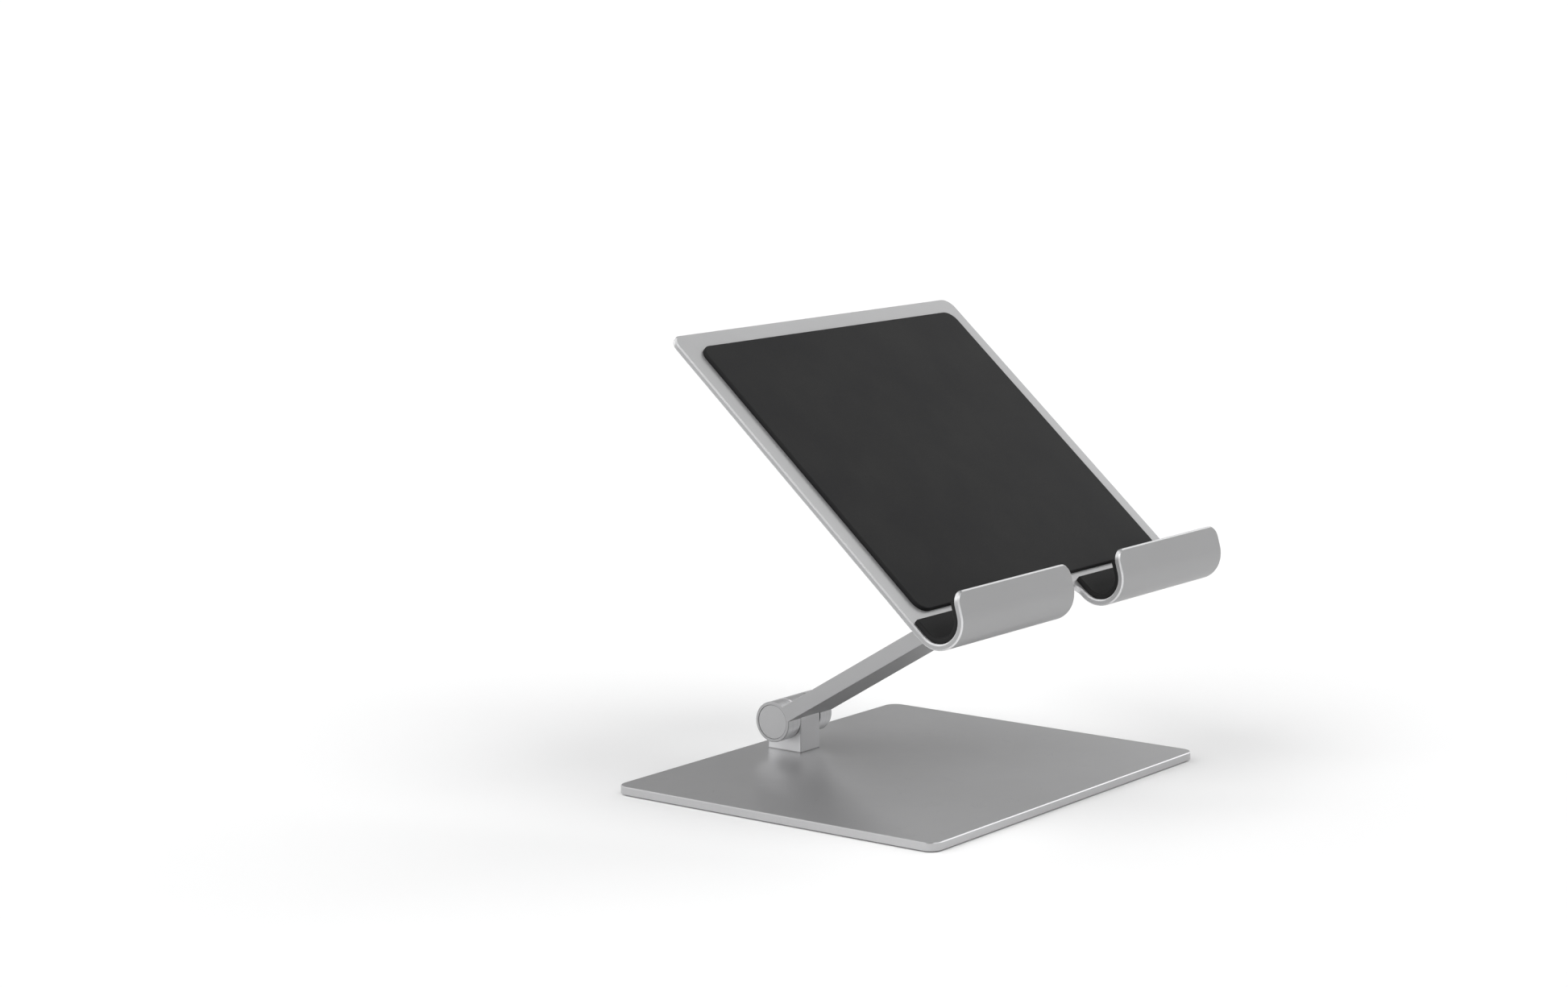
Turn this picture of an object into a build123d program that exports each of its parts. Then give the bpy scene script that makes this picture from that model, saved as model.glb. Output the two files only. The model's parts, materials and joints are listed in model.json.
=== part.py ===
from build123d import *
from math import cos, radians, sin
import os

# A folding aluminium tablet stand: a flat base plate, one arm with a friction hinge at
# each end, and a bent sheet holder with two J-shaped hooks for the tablet's lower edge.
# Units are millimetres. X is the width, the user is at -Y, and the stand rests on Z = 0,
# with the origin under the middle of the base.

# ---------------------------------------------------------------- driving dimensions
BASE_WIDTH = 172.0
BASE_DEPTH = 138.0
BASE_THICKNESS = 3.0
BASE_CORNER = 5.0
BASE_LIFT = 0.4             # the anti-slip pad stands this far below the plate
BASE_PAD_THICKNESS = 0.8    # half of it sits in a shallow recess under the plate
BASE_PAD_INSET = 5.0
BASE_PAD_CORNER = 4.0

HINGE_Y = 53.5              # the lower hinge line, behind the middle of the base
AXIS_TO_PLATE = 12.1        # from a hinge line to the plate that its block stands on
BARREL_RADIUS = 7.6
BLOCK_WIDTH = 11.8
WASHER_THICKNESS = 0.4      # friction washer between a block and a knuckle

ARM_WIDTH = 27.0
ARM_THICKNESS = 6.0
ARM_LENGTH = 111.0          # between the two hinge lines
ARM_ANGLE = 31.3            # rise of the arm towards the user
SLOT_CLEARANCE = 0.3        # between a block and the end of the arm's slot

SHEET_THICKNESS = 2.2
HOLDER_WIDTH = 170.0
HOLDER_ANGLE = 41.1         # slope of the holder's plate
HOLDER_LENGTH = 141.5       # from the centre of the hook's bend to the top edge
HOLDER_CORNER = 5.0
HINGE_TO_BEND = 16.7        # from the upper hinge line down to the centre of the bend
HOOK_RADIUS = 8.1           # inside radius of the bend
HOOK_OPENING = 33.0         # how far the lip leans out from the plate
LIP_LENGTH = 8.0
LIP_CORNER = 4.5
CABLE_GAP = 31.5            # between the two hooks
CABLE_GAP_TOP = 4.0         # top of the gap above the centre of the bend
CABLE_GAP_CORNER = 4.0

HOLDER_PAD_THICKNESS = 1.5
HOLDER_PAD_SIDE = 8.0       # bare sheet left at each side of the pad
HOLDER_PAD_START = 9.0      # above the centre of the bend
HOLDER_PAD_END = 134.0
LINER_THICKNESS = 2.0
LINER_INSET = 1.0
LINER_TOP = 6.0
LINER_LIP = 5.0

BOLT_RADIUS = 2.5
BORE_RADIUS = 2.55
BOLT_HEAD_RADIUS = 4.5
BOLT_HEAD_HEIGHT = 2.6
BOLT_SOCKET_RADIUS = 1.75
BOLT_SOCKET_DEPTH = 1.6
NUT_ACROSS_FLATS = 8.0
NUT_HEIGHT = 2.5
WASHER_RADIUS = 6.2
HEAD_WASHER_RADIUS = 5.0
HEAD_WASHER_THICKNESS = 0.7
SPRING_RADIUS = 5.0
SPRING_SHEET = 0.35
SPRING_CONE = 0.15
POCKET_RADIUS = 6.5         # recess in a knuckle for the hardware and its cap
POCKET_DEPTH = 5.2
CAP_RECESS = 0.15
CAP_THICKNESS = 1.0
CAP_SKIRT_DEPTH = 1.4
CAP_SKIRT_WALL = 0.7

SCREW_RADIUS = 1.5
SCREW_HEAD_RADIUS = 2.8
SCREW_HEAD_ANGLE = 90.0
SCREW_LENGTH = 8.0
SCREW_SPACING = 8.0
SCREW_HOLE_RADIUS = 1.6
SCREW_SOCKET_RADIUS = 1.15
SCREW_SOCKET_DEPTH = 1.0

EDGE = 0.3                  # bright chamfer round the base plate's top and on the blocks
SMALL_EDGE = 0.2
SHEET_EDGE = 0.5
THREAD_EDGE = 0.4

# ---------------------------------------------------------------- places worked out
base_top = BASE_LIFT + BASE_THICKNESS
lower_axis_z = base_top + AXIS_TO_PLATE
arm_rise = radians(ARM_ANGLE)
slope = radians(HOLDER_ANGLE)
upper_axis_y = HINGE_Y - ARM_LENGTH * cos(arm_rise)
upper_axis_z = lower_axis_z + ARM_LENGTH * sin(arm_rise)

half_block = BLOCK_WIDTH / 2
knuckle_inner = half_block + WASHER_THICKNESS
knuckle_outer = ARM_WIDTH / 2
pocket_floor = knuckle_outer - POCKET_DEPTH
cap_face = knuckle_outer - CAP_RECESS
recess_depth = BASE_PAD_THICKNESS - BASE_LIFT
base_metal = BASE_THICKNESS - recess_depth    # left above the recess, for the screws
outer_hook_radius = HOOK_RADIUS + SHEET_THICKNESS
hook_turn = 180.0 - HOOK_OPENING
hook_width = (HOLDER_WIDTH - CABLE_GAP) / 2

# Side-view planes. Each one is normal to X, with its origin on a hinge line and its own
# y axis pointing at the plate that the hinge's block is screwed to.
lower_side = Plane(origin=(0, HINGE_Y, lower_axis_z), x_dir=(0, -1, 0), z_dir=(1, 0, 0))
upper_side = Plane(
    origin=(0, upper_axis_y, upper_axis_z),
    x_dir=(0, cos(slope), sin(slope)),
    z_dir=(1, 0, 0),
)
arm_side = Plane(
    origin=(0, HINGE_Y, lower_axis_z),
    x_dir=(0, -cos(arm_rise), sin(arm_rise)),
    z_dir=(1, 0, 0),
)


def seat_plane(side, distance):
    """A plane normal to the side plane's y axis, with its own x axis along X."""
    centre = side.origin + side.y_dir * distance
    return Plane(origin=centre, x_dir=(1, 0, 0), z_dir=side.y_dir)


def section_plane(side):
    """A plane through a hinge line: x runs along the line, y is the radius."""
    return Plane(origin=side.origin, x_dir=(1, 0, 0), z_dir=(0, 1, 0))


def hinge_line(side):
    return Axis(side.origin, (1, 0, 0))


def save(part, name):
    part.label = name
    export_step(part, f"parts/{name}.step")


# ---------------------------------------------------------------- base
def make_base_plate():
    seat = seat_plane(lower_side, AXIS_TO_PLATE + base_metal)
    with BuildPart() as base_plate:
        with BuildSketch(Plane.XY.offset(BASE_LIFT)):
            RectangleRounded(BASE_WIDTH, BASE_DEPTH, BASE_CORNER)
        extrude(amount=BASE_THICKNESS)
        chamfer(base_plate.faces().sort_by(Axis.Z)[-1].edges(), length=EDGE)
        chamfer(base_plate.faces().sort_by(Axis.Z)[0].edges(), length=SMALL_EDGE)
        with BuildSketch(Plane.XY.offset(BASE_LIFT)):
            RectangleRounded(
                BASE_WIDTH - 2 * BASE_PAD_INSET, BASE_DEPTH - 2 * BASE_PAD_INSET, BASE_PAD_CORNER
            )
        extrude(amount=recess_depth, mode=Mode.SUBTRACT)
        with Locations(seat):
            with GridLocations(1, SCREW_SPACING, 1, 2):
                CounterSinkHole(
                    SCREW_HOLE_RADIUS,
                    SCREW_HEAD_RADIUS,
                    depth=2 * base_metal,
                    counter_sink_angle=SCREW_HEAD_ANGLE,
                )
    save(base_plate.part, "base_plate")


def make_base_pad():
    with BuildPart() as base_pad:
        with BuildSketch(Plane.XY):
            RectangleRounded(
                BASE_WIDTH - 2 * BASE_PAD_INSET, BASE_DEPTH - 2 * BASE_PAD_INSET, BASE_PAD_CORNER
            )
        extrude(amount=BASE_PAD_THICKNESS)
    save(base_pad.part, "base_pad")


# ---------------------------------------------------------------- hinge blocks
def make_block(name, side, metal):
    """A block with a barrel on top, screwed on from the far side through that much metal."""
    with BuildPart() as block:
        with BuildSketch(side):
            Circle(BARREL_RADIUS)
            with Locations((0, AXIS_TO_PLATE / 2)):
                Rectangle(2 * BARREL_RADIUS, AXIS_TO_PLATE)
        extrude(amount=half_block, both=True)
        seat_face = block.faces().sort_by(Axis(side.origin, side.y_dir))[-1]
        sides = block.faces().filter_by(Axis.X)
        outline = [edge for face in sides for edge in face.edges()]
        seat_edges = [edge.center() for edge in seat_face.edges()]
        free = [e for e in outline if all((e.center() - c).length > EDGE for c in seat_edges)]
        chamfer(free, length=EDGE)
        with BuildSketch(side.offset(-half_block)):
            Circle(BORE_RADIUS)
        extrude(amount=BLOCK_WIDTH, mode=Mode.SUBTRACT)
        with Locations(seat_plane(side, AXIS_TO_PLATE)):
            with GridLocations(1, SCREW_SPACING, 1, 2):
                Hole(SCREW_RADIUS, depth=SCREW_LENGTH - metal)
    save(block.part, name)


def make_block_screws(name, side, metal):
    """Two countersunk screws with hexagon sockets, heads flush with the metal they hold."""
    head_height = SCREW_HEAD_RADIUS - SCREW_RADIUS
    seat = seat_plane(side, AXIS_TO_PLATE + metal)
    with BuildPart() as screws:
        with Locations(seat):
            with GridLocations(1, SCREW_SPACING, 1, 2):
                Cylinder(
                    SCREW_RADIUS,
                    SCREW_LENGTH,
                    align=(Align.CENTER, Align.CENTER, Align.MAX),
                )
                Cone(
                    SCREW_RADIUS,
                    SCREW_HEAD_RADIUS,
                    head_height,
                    align=(Align.CENTER, Align.CENTER, Align.MAX),
                )
        with BuildSketch(seat):
            with GridLocations(1, SCREW_SPACING, 1, 2):
                RegularPolygon(SCREW_SOCKET_RADIUS, 6)
        extrude(amount=-SCREW_SOCKET_DEPTH, mode=Mode.SUBTRACT)
    save(screws.part, name)


# ---------------------------------------------------------------- arm
def make_arm():
    slot_end = BARREL_RADIUS + SLOT_CLEARANCE
    slot_length = slot_end + 2 * BARREL_RADIUS
    ends = ((0, 0), (ARM_LENGTH, 0))
    with BuildPart() as arm:
        with BuildSketch(arm_side):
            with Locations((ARM_LENGTH / 2, 0)):
                Rectangle(ARM_LENGTH, ARM_THICKNESS)
            with Locations(*ends):
                Circle(BARREL_RADIUS)
        extrude(amount=knuckle_outer, both=True)
        sides = arm.faces().filter_by(Axis.X)
        chamfer([edge for face in sides for edge in face.edges()], length=SMALL_EDGE)
        with BuildSketch(arm_side):
            with Locations((slot_end - slot_length / 2, 0)):
                Rectangle(slot_length, 4 * BARREL_RADIUS)
            with Locations((ARM_LENGTH - slot_end + slot_length / 2, 0)):
                Rectangle(slot_length, 4 * BARREL_RADIUS)
        extrude(amount=knuckle_inner, both=True, mode=Mode.SUBTRACT)
        with BuildSketch(arm_side):
            with Locations(*ends):
                Circle(BORE_RADIUS)
        extrude(amount=ARM_WIDTH, both=True, mode=Mode.SUBTRACT)
        for outer_plane, inward in (
            (arm_side.offset(knuckle_outer), -POCKET_DEPTH),
            (arm_side.offset(-knuckle_outer), POCKET_DEPTH),
        ):
            with BuildSketch(outer_plane):
                with Locations(*ends):
                    Circle(POCKET_RADIUS)
            extrude(amount=inward, mode=Mode.SUBTRACT)
    save(arm.part, "arm")


# ---------------------------------------------------------------- hinge hardware
def make_pivot_bolt(name, side):
    """Low-head socket bolt along the hinge line, head at +X, thread end inside the nut."""
    head_seat = pocket_floor + HEAD_WASHER_THICKNESS
    shank_start = -(pocket_floor + 2 * (SPRING_SHEET + SPRING_CONE) + NUT_HEIGHT)
    with BuildPart() as bolt:
        with BuildSketch(side.offset(shank_start)):
            Circle(BOLT_RADIUS)
        extrude(amount=head_seat - shank_start)
        chamfer(bolt.edges().sort_by(Axis.X)[0], length=THREAD_EDGE)
        with BuildSketch(side.offset(head_seat)):
            Circle(BOLT_HEAD_RADIUS)
        extrude(amount=BOLT_HEAD_HEIGHT)
        chamfer(bolt.edges().sort_by(Axis.X)[-1], length=EDGE)
        with BuildSketch(side.offset(head_seat + BOLT_HEAD_HEIGHT)):
            RegularPolygon(BOLT_SOCKET_RADIUS, 6)
        extrude(amount=-BOLT_SOCKET_DEPTH, mode=Mode.SUBTRACT)
    save(bolt.part, name)


def make_lock_nut(name, side):
    """Thin hexagon nut against the disc springs, its corners trimmed by a cone."""
    inner_x = -(pocket_floor + 2 * (SPRING_SHEET + SPRING_CONE))
    with BuildPart() as nut:
        with BuildSketch(side.offset(inner_x)):
            RegularPolygon(NUT_ACROSS_FLATS / 2, 6, major_radius=False)
            Circle(BOLT_RADIUS, mode=Mode.SUBTRACT)
        extrude(amount=-NUT_HEIGHT)
        rim = NUT_ACROSS_FLATS / 2 + NUT_HEIGHT
        with BuildSketch(section_plane(side)):
            with BuildLine():
                Polyline(
                    (inner_x, 0),
                    (inner_x, rim),
                    (inner_x - NUT_HEIGHT, NUT_ACROSS_FLATS / 2),
                    (inner_x - NUT_HEIGHT, 0),
                    close=True,
                )
            make_face()
        revolve(axis=hinge_line(side), mode=Mode.INTERSECT)
    save(nut.part, name)


def make_disc_springs(name, side):
    """Two coned disc springs back to back between the knuckle and the nut."""
    height = SPRING_SHEET + SPRING_CONE
    with BuildPart() as springs:
        for start, cone in ((pocket_floor, SPRING_CONE), (pocket_floor + height, -SPRING_CONE)):
            inner_shift = max(cone, 0.0)
            outer_shift = max(-cone, 0.0)
            with BuildSketch(section_plane(side)):
                with BuildLine():
                    Polyline(
                        (-(start + inner_shift), BORE_RADIUS),
                        (-(start + inner_shift + SPRING_SHEET), BORE_RADIUS),
                        (-(start + outer_shift + SPRING_SHEET), SPRING_RADIUS),
                        (-(start + outer_shift), SPRING_RADIUS),
                        close=True,
                    )
                make_face()
            revolve(axis=hinge_line(side))
    save(springs.part, name)


def make_head_washer(name, side):
    with BuildPart() as washer:
        with BuildSketch(side.offset(pocket_floor)):
            Circle(HEAD_WASHER_RADIUS)
            Circle(BORE_RADIUS, mode=Mode.SUBTRACT)
        extrude(amount=HEAD_WASHER_THICKNESS)
    save(washer.part, name)


def make_friction_washers(name, side):
    """One thin washer at each side of the block, between it and the knuckles."""
    with BuildPart() as washers:
        for start in (half_block, -knuckle_inner):
            with BuildSketch(side.offset(start)):
                Circle(WASHER_RADIUS)
                Circle(BORE_RADIUS, mode=Mode.SUBTRACT)
            extrude(amount=WASHER_THICKNESS)
    save(washers.part, name)


def make_cap(name, side, sign):
    """A disc with a short skirt that plugs the recess in a knuckle."""
    skirt_radius = POCKET_RADIUS - CAP_SKIRT_WALL
    inner_face = cap_face - CAP_THICKNESS
    with BuildPart() as cap:
        with BuildSketch(section_plane(side)):
            with BuildLine():
                Polyline(
                    (sign * cap_face, 0),
                    (sign * cap_face, POCKET_RADIUS - SMALL_EDGE),
                    (sign * (cap_face - SMALL_EDGE), POCKET_RADIUS),
                    (sign * (inner_face - CAP_SKIRT_DEPTH), POCKET_RADIUS),
                    (sign * (inner_face - CAP_SKIRT_DEPTH), skirt_radius),
                    (sign * inner_face, skirt_radius),
                    (sign * inner_face, 0),
                    close=True,
                )
            make_face()
        revolve(axis=hinge_line(side))
    save(cap.part, name)


# ---------------------------------------------------------------- holder
bend_x = -HINGE_TO_BEND
sheet_front = AXIS_TO_PLATE + SHEET_THICKNESS
bend_centre = Vector(bend_x, sheet_front + HOOK_RADIUS)
holder_top = bend_x + HOLDER_LENGTH
lip_angle = radians(HOOK_OPENING)
lip_direction = Vector(cos(lip_angle), sin(lip_angle))
lip_normal = upper_side.y_dir * cos(lip_angle) - upper_side.x_dir * sin(lip_angle)
holder_front = seat_plane(upper_side, sheet_front)


def hook_outline(inner_radius, outer_radius, flat_end, lip_length):
    """Side view of a strip: along the plate, round the bend and up the lip."""
    inner = CenterArc(bend_centre, inner_radius, -90, -hook_turn)
    outer = CenterArc(bend_centre, outer_radius, -90, -hook_turn)
    lip_inner = Line(inner @ 1, inner @ 1 + lip_direction * lip_length)
    lip_outer = Line(outer @ 1, outer @ 1 + lip_direction * lip_length)
    flat_inner = Line(inner @ 0, (flat_end, (inner @ 0).Y))
    flat_outer = Line(outer @ 0, (flat_end, (outer @ 0).Y))
    Line(lip_inner @ 1, lip_outer @ 1)
    Line(flat_inner @ 1, flat_outer @ 1)


def make_holder_plate():
    gap_height = CABLE_GAP_TOP + 2 * outer_hook_radius
    lip_reach = outer_hook_radius + LIP_LENGTH
    with BuildPart() as holder:
        with BuildSketch(upper_side):
            with BuildLine():
                hook_outline(HOOK_RADIUS, outer_hook_radius, holder_top, LIP_LENGTH)
            make_face()
        extrude(amount=HOLDER_WIDTH / 2, both=True)
        with BuildSketch(holder_front) as gap:
            with Locations((0, bend_x + CABLE_GAP_TOP - gap_height / 2)):
                Rectangle(CABLE_GAP, gap_height)
            fillet(gap.vertices().group_by(Axis.Y)[-1], radius=CABLE_GAP_CORNER)
        extrude(amount=HOOK_RADIUS, both=True, mode=Mode.SUBTRACT)
        with BuildSketch(holder_front.offset(HOOK_RADIUS)):
            with Locations((0, bend_x)):
                Rectangle(CABLE_GAP, 2 * lip_reach)
        extrude(amount=lip_reach, mode=Mode.SUBTRACT)
        lip_corners = holder.edges().filter_by(Axis(upper_side.origin, lip_normal))
        fillet(lip_corners.group_by(Axis.Z)[-1], radius=LIP_CORNER)
        top_face = holder.faces().sort_by(Axis(upper_side.origin, upper_side.x_dir))[-1]
        top_corners = top_face.edges().filter_by(Axis(upper_side.origin, upper_side.y_dir))
        fillet(top_corners, radius=HOLDER_CORNER)
        # The sheet's big faces meet along the ends of the bend; every other edge of theirs
        # is on the rim and gets a bright chamfer.
        skins = [face for face in holder.faces() if face.area > hook_width * LIP_LENGTH / 2]
        skin_edges = [edge for face in skins for edge in face.edges()]
        rim = [edge for edge in skin_edges if skin_edges.count(edge) == 1]
        chamfer(rim, length=SHEET_EDGE)
        with Locations(holder_front):
            with GridLocations(1, SCREW_SPACING, 1, 2):
                CounterSinkHole(
                    SCREW_HOLE_RADIUS,
                    SCREW_HEAD_RADIUS,
                    depth=2 * SHEET_THICKNESS,
                    counter_sink_angle=SCREW_HEAD_ANGLE,
                )
    save(holder.part, "holder_plate")


def make_holder_pad():
    pad_length = HOLDER_PAD_END - HOLDER_PAD_START
    pad_middle = bend_x + (HOLDER_PAD_START + HOLDER_PAD_END) / 2
    with BuildPart() as pad:
        with BuildSketch(holder_front):
            with Locations((0, pad_middle)):
                RectangleRounded(HOLDER_WIDTH - 2 * HOLDER_PAD_SIDE, pad_length, HOLDER_CORNER)
        extrude(amount=HOLDER_PAD_THICKNESS)
    save(pad.part, "holder_pad")


def make_hook_liner(name, sign):
    """A rubber strip glued inside one hook."""
    liner_radius = HOOK_RADIUS - LINER_THICKNESS
    start = CABLE_GAP / 2 + LINER_INSET
    end = HOLDER_WIDTH / 2 - LINER_INSET
    with BuildPart() as liner:
        with BuildSketch(upper_side.offset(sign * start)):
            with BuildLine():
                hook_outline(liner_radius, HOOK_RADIUS, bend_x + LINER_TOP, LINER_LIP)
            make_face()
        extrude(amount=sign * (end - start))
    save(liner.part, name)


# ---------------------------------------------------------------- the stand
os.makedirs("parts", exist_ok=True)
make_base_plate()
make_base_pad()
make_arm()
make_holder_plate()
make_holder_pad()
make_hook_liner("hook_liner_left", -1)
make_hook_liner("hook_liner_right", 1)
for place, side, metal in (
    ("lower", lower_side, base_metal),
    ("upper", upper_side, SHEET_THICKNESS),
):
    make_block(f"{place}_block", side, metal)
    make_block_screws(f"{place}_block_screws", side, metal)
    make_pivot_bolt(f"{place}_pivot_bolt", side)
    make_lock_nut(f"{place}_lock_nut", side)
    make_disc_springs(f"{place}_disc_springs", side)
    make_head_washer(f"{place}_head_washer", side)
    make_friction_washers(f"{place}_friction_washers", side)
    make_cap(f"{place}_cap_left", side, -1)
    make_cap(f"{place}_cap_right", side, 1)
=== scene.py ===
import json
from math import cos, pi, radians, sin

import bpy
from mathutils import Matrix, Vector


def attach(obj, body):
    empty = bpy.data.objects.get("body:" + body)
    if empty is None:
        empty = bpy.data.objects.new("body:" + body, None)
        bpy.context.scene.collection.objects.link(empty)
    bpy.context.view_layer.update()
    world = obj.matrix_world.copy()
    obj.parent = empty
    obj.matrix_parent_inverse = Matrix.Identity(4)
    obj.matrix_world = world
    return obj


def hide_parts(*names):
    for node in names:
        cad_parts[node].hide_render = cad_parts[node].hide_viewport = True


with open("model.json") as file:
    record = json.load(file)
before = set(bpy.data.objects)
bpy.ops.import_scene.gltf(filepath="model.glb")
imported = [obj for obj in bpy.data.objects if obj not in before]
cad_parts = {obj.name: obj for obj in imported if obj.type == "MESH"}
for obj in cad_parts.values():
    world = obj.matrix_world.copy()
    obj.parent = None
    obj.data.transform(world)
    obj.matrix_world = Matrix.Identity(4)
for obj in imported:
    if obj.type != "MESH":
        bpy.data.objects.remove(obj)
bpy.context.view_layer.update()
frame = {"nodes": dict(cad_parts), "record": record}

NODES = frame["nodes"]
RECORD = frame["record"]

# ------------------------------------------------------------------ sizes, in metres
# These repeat the CAD's sizes, for the soft pieces rebuilt here and for the barrels' finish.
HINGE_TO_BEND = 0.0167
HINGE_TO_SHEET_FRONT = 0.0143
HOOK_RADIUS = 0.0081
BARREL_RADIUS = 0.0076
HOOK_TURN = radians(147.0)
LINER_THICKNESS = 0.002
LINER_FLAT = 0.006
LINER_LIP = 0.005
LINER_ROUNDING = 0.0005
PAD_CORNER = 0.005
PAD_ROUNDING = 0.0006
BASE_PAD_CORNER = 0.004
BASE_PAD_ROUNDING = 0.00025
CORNER_STEPS = 10               # stretches in a quarter turn of a pad's outline
EDGE_STEPS = 6                  # and of a pad's soft edge
LINER_CORNER_STEPS = 4
LINER_END_STEPS = 5
LINER_STATIONS = 60             # stretches along a liner, between its soft ends
SHARP_ANGLE = radians(40.0)     # edges that turn more than this are shaded as edges

# ------------------------------------------------------------------ directions
X = Vector((1.0, 0.0, 0.0))
Z = Vector((0.0, 0.0, 1.0))
joint_at = {j["name"]: Vector(j["pos_m"]) for j in RECORD["behaviour"]["joints"]}
tablet_rest = next(m for m in RECORD["mounts"] if m["name"] == "tablet_rest_face")
OUT = Vector(tablet_rest["axis"]).normalized()      # out of the holder's front
UP_SLOPE = Vector((0.0, OUT.z, -OUT.y))             # up the holder's slope
upper_hinge = joint_at["upper_hinge"]
lower_hinge = joint_at["lower_hinge"]
LIP_END = OUT * sin(HOOK_TURN) - UP_SLOPE * cos(HOOK_TURN)      # the way the lips point
LIP_BACK = -OUT * cos(HOOK_TURN) - UP_SLOPE * sin(HOOK_TURN)    # out of their outer faces
bend_centre = upper_hinge - UP_SLOPE * HINGE_TO_BEND + OUT * (HINGE_TO_SHEET_FRONT + HOOK_RADIUS)


def extent(node, direction):
    """Lowest and highest reach of a CAD node along a direction."""
    reach = [v.co.dot(direction) for v in NODES[node].data.vertices]
    return min(reach), max(reach)


# ------------------------------------------------------------------ node helpers
class Graph:
    """A material's node tree, with short calls for the nodes that the finishes share."""

    def __init__(self, name):
        self.material = bpy.data.materials.new(name)
        self.material.use_nodes = True
        self.tree = self.material.node_tree
        self.shader = self.tree.nodes["Principled BSDF"]
        self.place = self.tree.nodes.new("ShaderNodeTexCoord")

    def node(self, kind, **settings):
        made = self.tree.nodes.new(kind)
        for key, value in settings.items():
            setattr(made, key, value)
        return made

    def link(self, source, target):
        self.tree.links.new(source, target)

    def noise(self, scale, detail=2.0, roughness=0.5, stretch=None):
        made = self.node("ShaderNodeTexNoise")
        made.inputs["Scale"].default_value = scale
        made.inputs["Detail"].default_value = detail
        made.inputs["Roughness"].default_value = roughness
        source = self.place.outputs["Object"]
        if stretch is not None:
            mapping = self.node("ShaderNodeMapping")
            mapping.inputs["Scale"].default_value = stretch
            self.link(source, mapping.inputs["Vector"])
            source = mapping.outputs["Vector"]
        self.link(source, made.inputs["Vector"])
        return made.outputs["Fac"]

    def remap(self, value, low, high, from_low=0.3, from_high=0.7):
        made = self.node("ShaderNodeMapRange")
        made.inputs["From Min"].default_value = from_low
        made.inputs["From Max"].default_value = from_high
        made.inputs["To Min"].default_value = low
        made.inputs["To Max"].default_value = high
        self.link(value, made.inputs["Value"])
        return made.outputs["Result"]

    def maths(self, operation, first, second):
        made = self.node("ShaderNodeMath", operation=operation)
        for value, socket in ((first, made.inputs[0]), (second, made.inputs[1])):
            if isinstance(value, (int, float)):
                socket.default_value = value
            else:
                self.link(value, socket)
        return made.outputs[0]

    def blend(self, factor, first, second):
        made = self.node("ShaderNodeMix", data_type="RGBA")
        self.link(factor, made.inputs["Factor"])
        for value, socket in ((first, made.inputs["A"]), (second, made.inputs["B"])):
            if isinstance(value, tuple):
                socket.default_value = (*value, 1.0)
            else:
                self.link(value, socket)
        return made.outputs["Result"]

    def bump(self, height, strength, distance, under=None):
        made = self.node("ShaderNodeBump")
        made.inputs["Strength"].default_value = strength
        made.inputs["Distance"].default_value = distance
        self.link(height, made.inputs["Height"])
        if under is not None:
            self.link(under, made.inputs["Normal"])
        return made.outputs["Normal"]

    def normal_part(self, axis):
        """Size of the surface normal's part along an axis of the piece itself."""
        parts = self.node("ShaderNodeSeparateXYZ")
        self.link(self.place.outputs["Normal"], parts.inputs["Vector"])
        return self.maths("ABSOLUTE", parts.outputs[axis], 0.0)

    def height(self):
        """Height above the table, fixed to the piece as it stands at rest."""
        parts = self.node("ShaderNodeSeparateXYZ")
        self.link(self.place.outputs["Object"], parts.inputs["Vector"])
        return parts.outputs["Z"]

    def near_hinge_lines(self, points, radius):
        """One within a radius of any of the lines through the points along X, else nothing."""
        flat = self.node("ShaderNodeVectorMath", operation="MULTIPLY")
        flat.inputs[1].default_value = (0.0, 1.0, 1.0)
        self.link(self.place.outputs["Object"], flat.inputs[0])
        total = 0.0
        for point in points:
            away = self.node("ShaderNodeVectorMath", operation="DISTANCE")
            away.inputs[1].default_value = (0.0, point.y, point.z)
            self.link(flat.outputs["Vector"], away.inputs[0])
            near = self.remap(away.outputs["Value"], 1.0, 0.0, radius * 1.002, radius * 1.008)
            total = self.maths("ADD", total, near)
        return total

    def normal_along(self, direction):
        """Cosine of the angle between the surface normal and a direction fixed to the piece."""
        made = self.node("ShaderNodeVectorMath", operation="DOT_PRODUCT")
        made.inputs[1].default_value = direction
        self.link(self.place.outputs["Normal"], made.inputs[0])
        return made.outputs["Value"]


# ------------------------------------------------------------------ finishes
TURNED_TONE = 0.64              # of a turned barrel
FOOT_SHADE_TONE = 0.45                # of the painted shade line at a piece's foot, as a share of the metal's tone
FOOT_SHADE_HEIGHT = 0.00045                  # height of that painted shade line
BLUE_TINT = 1.012               # anodised aluminium is a touch cool
GRAIN_DEPTH = 0.00002           # of blasting and of turning marks
RUBBER_GRAIN_DEPTH = 0.00004
DUST = (0.32, 0.31, 0.30)


def shade(tone, factor=1.0):
    """A near-neutral, slightly cool grey."""
    return (tone * factor, tone * factor, tone * factor * BLUE_TINT)


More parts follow.
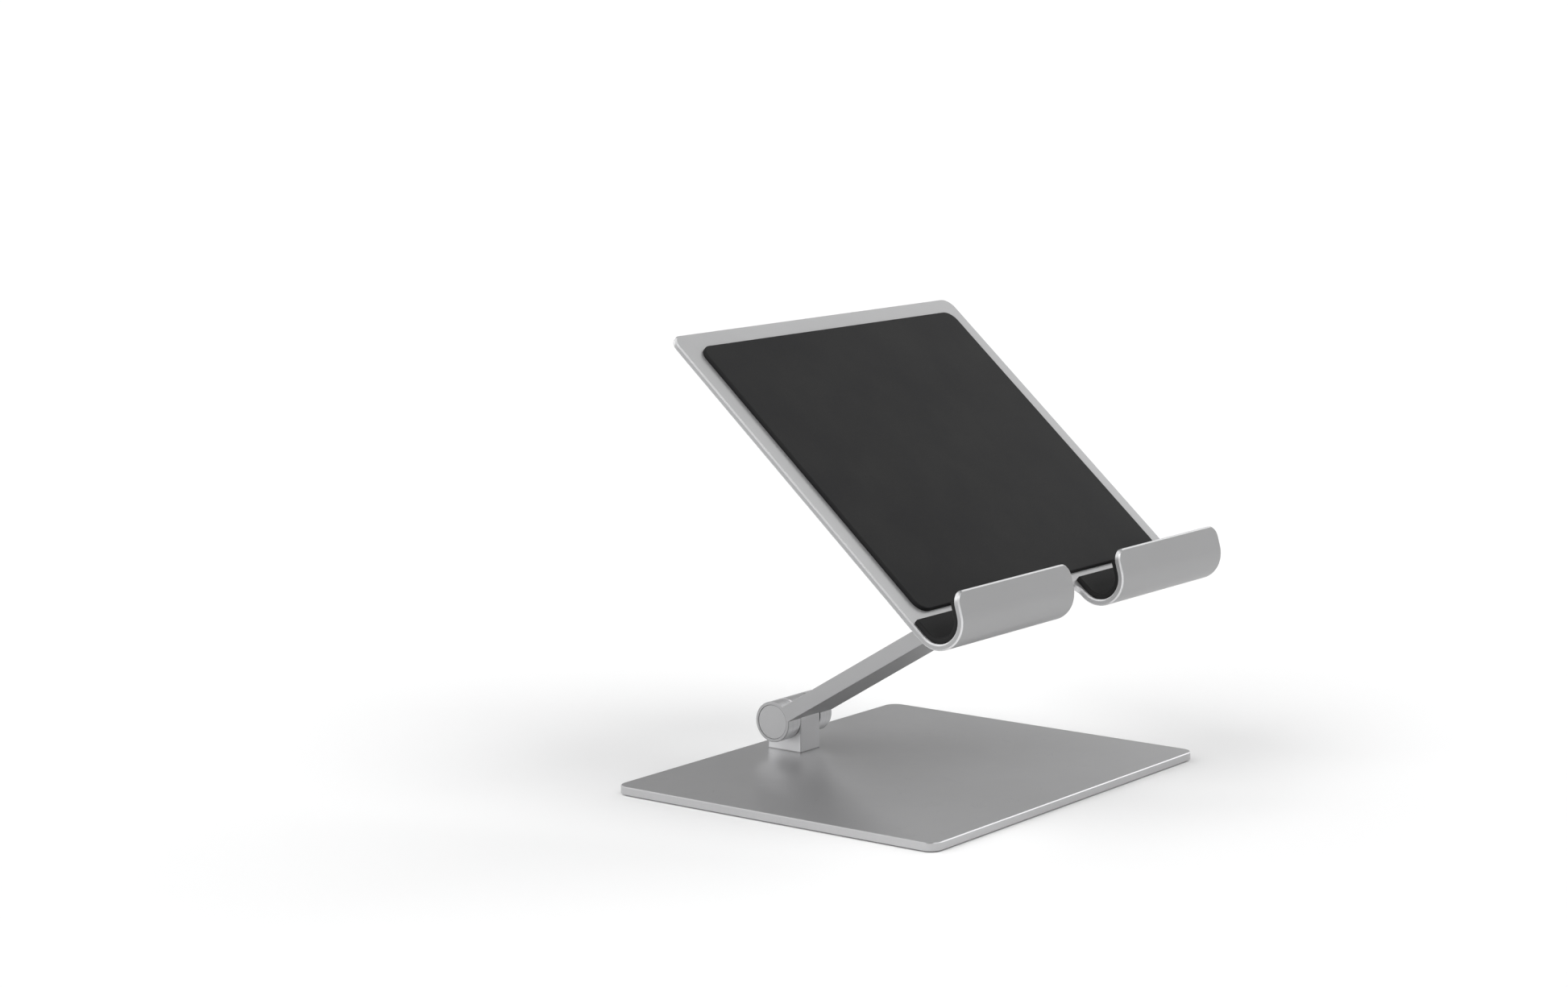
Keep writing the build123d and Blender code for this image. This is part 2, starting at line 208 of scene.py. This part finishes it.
def anodised(name, tone, roughness, metallic, painted_edge_tone=None, cut_normals=(), turned_about=(),
             foot=None):
    """Bead-blasted, satin anodised aluminium. A chamfer is cut after blasting, so it is smoother;
    its colour is painted: lighter than the metal as a painted highlight along the edge, darker
    as painted shade in a groove. It is found by its normal: part way between a face along X
    and that face's neighbours, or close to one of the given normals. Barrels about the given
    points on hinge lines are turned: brighter, with fine marks that run round them. A piece
    that stands on another at the height foot gets a fine dark line of painted shade there."""
    g = Graph(name)
    cloud = g.noise(16.0, detail=2.0)
    patch = g.noise(90.0, detail=2.0)
    grain = g.noise(5200.0, detail=2.0, roughness=0.6)
    colour = g.blend(g.remap(cloud, 0.0, 1.0), shade(tone, 0.98), shade(tone, 1.02))
    colour = g.blend(g.remap(grain, 0.0, 0.06), colour, shade(tone, 0.80))
    fine = g.remap(grain, roughness, roughness + 0.03)
    rough = g.maths("ADD", g.remap(patch, -0.010, 0.012), fine)
    surface = g.bump(grain, 0.10, GRAIN_DEPTH)
    if turned_about:
        marks = g.noise(3600.0, detail=2.0, stretch=(1.0, 0.02, 0.02))
        barrel = g.near_hinge_lines(turned_about, BARREL_RADIUS)
        barrel = g.maths("MULTIPLY", barrel, g.remap(g.normal_part("X"), 1.0, 0.0, 0.3, 0.5))
        dull, bright = shade(TURNED_TONE, 0.86), shade(TURNED_TONE, 1.06)
        colour = g.blend(barrel, colour, g.blend(g.remap(marks, 0.0, 1.0), dull, bright))
        surface = g.bump(g.maths("MULTIPLY", barrel, marks), 0.25, GRAIN_DEPTH, under=surface)
    # Painted chamfer colour: a lighter tone is a painted highlight, a darker one painted shade in a
    # groove; the cut's smoother finish is its own.
    if painted_edge_tone is not None:
        part = g.normal_part("X")
        rising = g.remap(part, 0.0, 1.0, 0.25, 0.45)
        falling = g.remap(part, 1.0, 0.0, 0.85, 0.97)
        cut = g.maths("MULTIPLY", rising, falling)
        for normal in cut_normals:
            cut = g.maths("MAXIMUM", cut, g.remap(g.normal_along(normal), 0.0, 1.0, 0.985, 0.993))
        painted_edge = g.maths("MULTIPLY", cut, g.remap(g.noise(900.0, detail=3.0), 0.9, 1.0))
        colour = g.blend(painted_edge, colour, shade(painted_edge_tone))
        rough = g.maths("SUBTRACT", rough, g.maths("MULTIPLY", painted_edge, roughness * 0.3))
    # Painted shade: a fine dark line along the joint where the piece stands on another, at the height
    # foot.
    if foot is not None:
        foot_shade = g.remap(g.height(), 1.0, 0.0, foot + FOOT_SHADE_HEIGHT / 3, foot + FOOT_SHADE_HEIGHT)
        colour = g.blend(foot_shade, colour, shade(tone, FOOT_SHADE_TONE))
    g.link(colour, g.shader.inputs["Base Color"])
    g.link(rough, g.shader.inputs["Roughness"])
    g.shader.inputs["Metallic"].default_value = metallic
    g.link(surface, g.shader.inputs["Normal"])
    return g.material


def silicone(name, tone, roughness, dust):
    """Matt black silicone with a fine moulded grain and a little dust in it."""
    g = Graph(name)
    cloud = g.noise(45.0, detail=4.0)
    grain = g.noise(3800.0, detail=2.0, roughness=0.7)
    specks = g.node("ShaderNodeTexVoronoi")
    specks.inputs["Scale"].default_value = 900.0
    g.link(g.place.outputs["Object"], specks.inputs["Vector"])
    fleck = g.remap(specks.outputs["Distance"], 1.0, 0.0, 0.03, 0.10)
    dusty = g.maths("MULTIPLY", fleck, g.remap(cloud, 0.0, dust, 0.45, 0.75))
    base = g.blend(g.remap(cloud, 0.0, 1.0), (tone, tone, tone * 1.05), (tone * 1.25,) * 3)
    g.link(g.blend(dusty, base, DUST), g.shader.inputs["Base Color"])
    g.link(g.remap(grain, roughness, roughness + 0.12), g.shader.inputs["Roughness"])
    g.shader.inputs["IOR"].default_value = 1.42
    g.shader.inputs["Specular IOR Level"].default_value = 0.14
    g.shader.inputs["Sheen Weight"].default_value = 0.02
    g.shader.inputs["Sheen Roughness"].default_value = 0.5
    g.link(g.bump(grain, 0.45, RUBBER_GRAIN_DEPTH), g.shader.inputs["Normal"])
    return g.material


def plain_metal(name, colour, roughness, streak):
    """Small steel and bronze parts: fine turning marks along X and uneven plating."""
    g = Graph(name)
    marks = g.noise(700.0, detail=2.0, stretch=(streak, 1.0, 1.0))
    cloud = g.noise(260.0, detail=3.0)
    dark = tuple(channel * 0.78 for channel in colour)
    g.link(g.blend(g.remap(cloud, 0.0, 1.0), dark, colour), g.shader.inputs["Base Color"])
    g.link(g.remap(marks, roughness, roughness + 0.12), g.shader.inputs["Roughness"])
    g.shader.inputs["Metallic"].default_value = 1.0
    g.link(g.bump(marks, 0.25, GRAIN_DEPTH), g.shader.inputs["Normal"])
    return g.material


HOLDER_CHAMFERS = [
    (end + side).normalized()
    for end, sides in ((LIP_END, (LIP_BACK, -LIP_BACK)), (UP_SLOPE, (OUT, -OUT)))
    for side in sides
]
BASE_METAL = anodised("base_anodised_aluminium", 0.49, 0.28, 0.72)
# The holder's light chamfer tone is a painted highlight along its edges and lips.
HOLDER_METAL = anodised(
    "holder_anodised_aluminium", 0.33, 0.34, 0.30, painted_edge_tone=0.72, cut_normals=HOLDER_CHAMFERS
)
ARM_METAL = anodised(
    "arm_anodised_aluminium", 0.36, 0.38, 0.60, turned_about=(lower_hinge, upper_hinge)
)
# The block gets a line of painted shade at its foot on the base plate; its slightly lighter chamfer
# tone is a painted highlight.
BLOCK_METAL = anodised(
    "block_anodised_aluminium", 0.58, 0.38, 0.60, painted_edge_tone=0.60, foot=extent("base_plate", Z)[1]
)
# The cap's dark chamfer tone is painted shade in the groove round it.
CAP_METAL = anodised("cap_anodised_aluminium", 0.39, 0.40, 0.25, painted_edge_tone=0.20)
PAD_RUBBER = silicone("black_silicone_pad", 0.016, 0.62, 0.12)
LINER_RUBBER = silicone("black_silicone_liner", 0.012, 0.55, 0.08)
ZINC_STEEL = plain_metal("zinc_plated_steel", (0.66, 0.67, 0.68), 0.28, 5.0)
SPRING_STEEL = plain_metal("tempered_spring_steel", (0.36, 0.36, 0.37), 0.34, 1.0)
BRONZE = plain_metal("phosphor_bronze", (0.60, 0.40, 0.20), 0.32, 1.0)
BLACK_STEEL = plain_metal("black_oxide_steel", (0.055, 0.055, 0.058), 0.42, 1.0)

FINISH_OF_SLOT = {
    "base_anodised": BASE_METAL,
    "holder_anodised": HOLDER_METAL,
    "arm_anodised": ARM_METAL,
    "block_anodised": BLOCK_METAL,
    "cap_anodised": CAP_METAL,
    "zinc_steel": ZINC_STEEL,
    "spring_steel": SPRING_STEEL,
    "bronze": BRONZE,
    "black_steel": BLACK_STEEL,
    "black_silicone": PAD_RUBBER,
}
for row in RECORD["subparts"]:
    for material_slot in NODES[row["node"]].material_slots:
        material_slot.material = FINISH_OF_SLOT[row["material_slot"]]


# ------------------------------------------------------------------ mesh helpers
def make_piece(name, points, faces, material, body, replaced):
    mesh = bpy.data.meshes.new(name)
    mesh.from_pydata([tuple(p) for p in points], [], faces)
    mesh.validate()
    mesh.materials.append(material)
    piece = bpy.data.objects.new(name, mesh)
    bpy.context.scene.collection.objects.link(piece)
    mesh.shade_smooth()
    mesh.set_sharp_from_angle(angle=SHARP_ANGLE)
    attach(piece, body)
    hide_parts(replaced)
    return piece


def ring_faces(rings, size):
    """Quads between rings of the same size, and a cap on each end ring."""
    faces = []
    for r in range(rings - 1):
        for i in range(size):
            j = (i + 1) % size
            faces.append((r * size + i, r * size + j, (r + 1) * size + j, (r + 1) * size + i))
    faces.append(tuple(reversed(range(size))))
    faces.append(tuple((rings - 1) * size + i for i in range(size)))
    return faces


def rounded_rectangle(half_a, half_b, radius, steps=CORNER_STEPS):
    """Outline points, anticlockwise, of a rectangle with round corners."""
    outline = []
    for quarter, (sa, sb) in enumerate(((1, 1), (-1, 1), (-1, -1), (1, -1))):
        for i in range(steps + 1):
            angle = (quarter + i / steps) * pi / 2
            a = sa * (half_a - radius) + radius * cos(angle)
            b = sb * (half_b - radius) + radius * sin(angle)
            outline.append((a, b))
    return outline


def slab(centre, along, across, up, half_a, half_b, thickness, corner, rounding, round_foot):
    """Rings of a flat pad from its foot to its face, with soft edges. centre is on the foot."""
    profile = []
    if round_foot:
        for i in range(EDGE_STEPS):
            angle = i / EDGE_STEPS * pi / 2
            profile.append((rounding * (1 - sin(angle)), rounding * (1 - cos(angle))))
    else:
        profile.append((0.0, 0.0))
    for i in range(EDGE_STEPS + 1):
        angle = i / EDGE_STEPS * pi / 2
        profile.append((rounding * (1 - cos(angle)), thickness - rounding * (1 - sin(angle))))
    points = []
    for inset, height in profile:
        for a, b in rounded_rectangle(half_a - inset, half_b - inset, corner - inset):
            points.append(centre + along * a + across * b + up * height)
    return points, len(profile)


def pad_piece(name, node, along, across, up, corner, rounding, body, round_foot):
    low_a, high_a = extent(node, along)
    low_b, high_b = extent(node, across)
    low_up, high_up = extent(node, up)
    centre = along * (low_a + high_a) / 2 + across * (low_b + high_b) / 2 + up * low_up
    half_a, half_b = (high_a - low_a) / 2, (high_b - low_b) / 2
    points, rings = slab(
        centre, along, across, up, half_a, half_b, high_up - low_up, corner, rounding, round_foot
    )
    faces = ring_faces(rings, len(points) // rings)
    piece = make_piece(name, points, faces, PAD_RUBBER, body, node)
    return piece


# ------------------------------------------------------------------ soft pieces
pad_piece(
    "holder_silicone_pad", "holder_pad", X, UP_SLOPE, OUT, PAD_CORNER, PAD_ROUNDING, "holder", False
)
pad_piece(
    "base_silicone_pad", "base_pad", X, Vector((0, 1, 0)), Z,
    BASE_PAD_CORNER, BASE_PAD_ROUNDING, "base", True,
)


LINER_RADIUS = HOOK_RADIUS - LINER_THICKNESS / 2
LINER_LENGTH = LINER_FLAT + LINER_RADIUS * HOOK_TURN + LINER_LIP


def liner_at(distance):
    """Middle of the liner's thickness at a distance along it, and the way to the sheet."""
    turn = min(max((distance - LINER_FLAT) / LINER_RADIUS, 0.0), HOOK_TURN)
    away = -OUT * cos(turn) - UP_SLOPE * sin(turn)
    point = bend_centre + away * LINER_RADIUS
    before_bend = max(LINER_FLAT - distance, 0.0)
    past_bend = max(distance - LINER_FLAT - LINER_RADIUS * HOOK_TURN, 0.0)
    return point + UP_SLOPE * before_bend + LIP_END * past_bend, away


def liner_piece(name, node):
    """A rubber strip along the hook's inside, with soft edges all round."""
    low_x, high_x = extent(node, X)
    middle = X * (low_x + high_x) / 2
    half_width, half_thick = (high_x - low_x) / 2, LINER_THICKNESS / 2
    angles = [i / LINER_END_STEPS * pi / 2 for i in range(LINER_END_STEPS + 1)]
    ends = [(LINER_ROUNDING * (1 - cos(a)), LINER_ROUNDING * (1 - sin(a))) for a in angles]
    run = LINER_LENGTH - 2 * LINER_ROUNDING
    stations = ends[:]
    stations += [(LINER_ROUNDING + run * i / LINER_STATIONS, 0.0) for i in range(1, LINER_STATIONS)]
    stations += [(LINER_LENGTH - distance, inset) for distance, inset in reversed(ends)]
    points = []
    for distance, inset in stations:
        point, away = liner_at(distance)
        outline = rounded_rectangle(
            half_width - inset, half_thick - inset, LINER_ROUNDING * 1.001 - inset, LINER_CORNER_STEPS
        )
        for a, b in outline:
            points.append(middle + point + X * a + away * b)
    faces = ring_faces(len(stations), len(points) // len(stations))
    return make_piece(name, points, faces, LINER_RUBBER, "holder", node)


liner_piece("hook_rubber_left", "hook_liner_left")
liner_piece("hook_rubber_right", "hook_liner_right")


# ------------------------------------------------------------------ floor, light, camera
# Soft boxes: azimuth from +X, elevation and reach in degrees, and level.
LEFT_WALL = (150.0, 10.0, 50.0, 1.5)
RIGHT_WALL = (0.0, 20.0, 35.0, 1.0)
BACK_OVERHEAD = (90.0, 40.0, 40.0, 1.2)
BOX_CORE = 5.0                  # within this many degrees of its centre a box is at full level
HORIZON_LEVEL = 0.8
HORIZON_FADE = (0.1, 0.4)                       # rise of the line of sight where its glow ends


FLOOR_REACH = 120.0
FLOOR_TONE = 0.95
KEY_SPREAD = 40.0                               # angle across each lamp, degrees
LENS = 78.18                                    # millimetres, on a sensor 36 mm wide
CAMERA_PLACE = (-0.99673, -0.69166, 0.29290)
CAMERA_TILT = 8.8326                            # degrees below the horizon
CAMERA_TURN = -53.0445                          # degrees about Z, from looking along +Y


def heading(azimuth, elevation):
    """Unit vector towards an azimuth from +X and an elevation, in degrees."""
    turn, rise = radians(azimuth), radians(elevation)
    return Vector((cos(rise) * cos(turn), cos(rise) * sin(turn), sin(rise)))


def make_floor():
    mesh = bpy.data.meshes.new("floor")
    signs = ((-1, -1), (1, -1), (1, 1), (-1, 1))
    corners = [(x * FLOOR_REACH, y * FLOOR_REACH, 0.0) for x, y in signs]
    mesh.from_pydata(corners, [], [(0, 1, 2, 3)])
    floor = bpy.data.objects.new("floor", mesh)
    bpy.context.scene.collection.objects.link(floor)
    g = Graph("pale_floor")
    g.shader.inputs["Base Color"].default_value = (FLOOR_TONE, FLOOR_TONE, FLOOR_TONE, 1.0)
    g.shader.inputs["Roughness"].default_value = 0.9
    g.shader.inputs["Specular IOR Level"].default_value = 0.0
    mesh.materials.append(g.material)


def make_sky():
    """A dim glow along the horizon and soft boxes in front of a black studio."""
    world = bpy.data.worlds.new("studio")
    bpy.context.scene.world = world
    world.use_nodes = True
    tree = world.node_tree

    def faded(value, dark_at, full_at, level):
        made = tree.nodes.new("ShaderNodeMapRange")
        made.interpolation_type = "SMOOTHSTEP"
        made.inputs["From Min"].default_value = dark_at
        made.inputs["From Max"].default_value = full_at
        made.inputs["To Max"].default_value = level
        tree.links.new(value, made.inputs["Value"])
        return made.outputs["Result"]

    sight = tree.nodes.new("ShaderNodeTexCoord").outputs["Generated"]
    parts = tree.nodes.new("ShaderNodeSeparateXYZ")
    tree.links.new(sight, parts.inputs["Vector"])
    total = faded(parts.outputs["Z"], HORIZON_FADE[1], HORIZON_FADE[0], HORIZON_LEVEL)
    for azimuth, elevation, reach, level in (LEFT_WALL, RIGHT_WALL, BACK_OVERHEAD):
        facing = tree.nodes.new("ShaderNodeVectorMath")
        facing.operation = "DOT_PRODUCT"
        facing.inputs[1].default_value = heading(azimuth, elevation)
        tree.links.new(sight, facing.inputs[0])
        glow = faded(facing.outputs["Value"], cos(radians(reach)), cos(radians(BOX_CORE)), level)
        added = tree.nodes.new("ShaderNodeMath")
        tree.links.new(total, added.inputs[0])
        tree.links.new(glow, added.inputs[1])
        total = added.outputs["Value"]
    tree.links.new(total, tree.nodes["Background"].inputs["Color"])


def make_sun(name, toward, strength):
    """A broad lamp; toward is the direction from the stand to the lamp."""
    light = bpy.data.lights.new(name, "SUN")
    light.energy = strength
    light.angle = radians(KEY_SPREAD)
    lamp = bpy.data.objects.new(name, light)
    lamp.rotation_mode = "QUATERNION"
    lamp.rotation_quaternion = Vector(toward).to_track_quat("Z", "Y")
    bpy.context.scene.collection.objects.link(lamp)


def make_camera():
    """The photograph's viewpoint."""
    data = bpy.data.cameras.new("camera")
    data.lens = LENS
    data.sensor_width = 36.0
    data.clip_start, data.clip_end = 0.05, 400.0
    camera = bpy.data.objects.new("camera", data)
    camera.location = CAMERA_PLACE
    camera.rotation_euler = (radians(90 - CAMERA_TILT), 0.0, radians(CAMERA_TURN))
    bpy.context.scene.collection.objects.link(camera)
    bpy.context.scene.camera = camera


make_floor()
make_sky()
make_sun("right_key", (0.75, -0.35, 0.6), 0.7)
make_sun("front_key", (0.05, -0.9, 1.0), 1.2)
make_sun("left_key", heading(165.0, 45.0), 1.2)
make_camera()
bpy.context.scene.view_settings.view_transform = "Standard"
